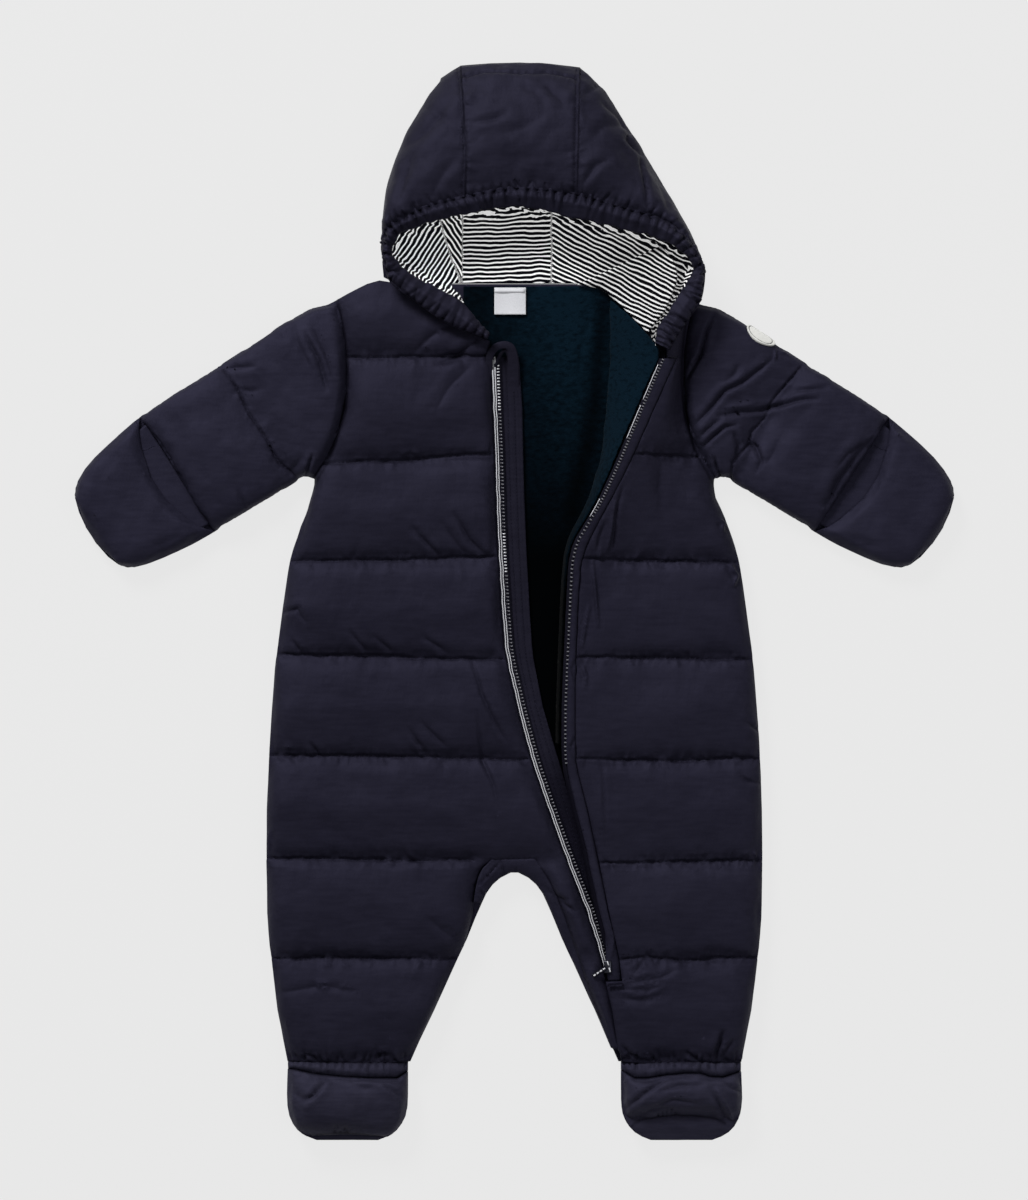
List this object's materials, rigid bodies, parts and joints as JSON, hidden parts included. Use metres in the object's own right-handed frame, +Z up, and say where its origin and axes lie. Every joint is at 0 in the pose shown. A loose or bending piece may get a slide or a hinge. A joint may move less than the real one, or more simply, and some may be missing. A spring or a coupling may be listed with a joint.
{
  "type": "baby snowsuit",
  "caption": "Hooded quilted baby snowsuit with fold-over mittens and booties, laid flat on its back with the long front zip open.",
  "frame": {"origin": "on the surface the suit lies on, at the middle of its outline", "axes": "+Y towards the hood, +X towards the wearer's left, +Z up out of the surface"},
  "size_m": [0.5872, 0.719, 0.048],
  "materials": {
    "shell": "dark navy woven polyester shell over padding, soft sheen",
    "shell_light": "the same dark navy shell with little padding, a shade lighter",
    "fleece": "dark teal brushed fleece",
    "jersey": "cotton jersey in narrow dark navy and white stripes",
    "tape": "navy woven zip tape with silver reflective lines",
    "zip_metal": "dark lacquered slider",
    "label": "white woven satin label, bare",
    "badge": "white soft moulded round badge, bare",
    "pull_cord": "white cord pull"
  },
  "bodies": {
    "suit": {"ankle_casing_left": "shell", "ankle_casing_right": "shell", "back_lining": "fleece", "back_panel": "shell", "bootie_sole_left": "shell_light", "bootie_sole_right": "shell_light", "bootie_upper_left": "shell_light", "bootie_upper_right": "shell_light", "cuff_left": "shell_light", "cuff_right": "shell_light", "front_left": "shell", "front_left_lining": "fleece", "front_right": "shell", "hood_casing": "shell", "hood_centre": "shell", "hood_lining_centre": "jersey", "hood_lining_neck_left": "jersey", "hood_lining_side_left": "jersey", "hood_lining_side_right": "jersey", "hood_side_left": "shell", "hood_side_right": "shell", "inseam_gusset": "shell", "mitten_back_left": "shell_light", "mitten_back_right": "shell_light", "mitten_flap_left": "shell_light", "mitten_flap_right": "shell_light", "neck_label": "label", "shoulder_badge": "badge", "sleeve_left": "shell", "sleeve_right": "shell", "wind_flap": "shell_light", "zip_end_tab": "tape", "zip_facing_left": "shell", "zip_slider": "zip_metal", "zip_tape_left": "tape", "zip_tape_right": "tape"},
    "pull": {"zip_pull": "pull_cord"}
  },
  "joints": [
    {"name": "pull_hinge", "type": "hinge", "parent": "suit", "child": "pull", "pos_m": [0.062, -0.2435, 0.0209], "axis": [-0.5299, 0.848, 0], "range_deg": [0, 120]}
  ]
}
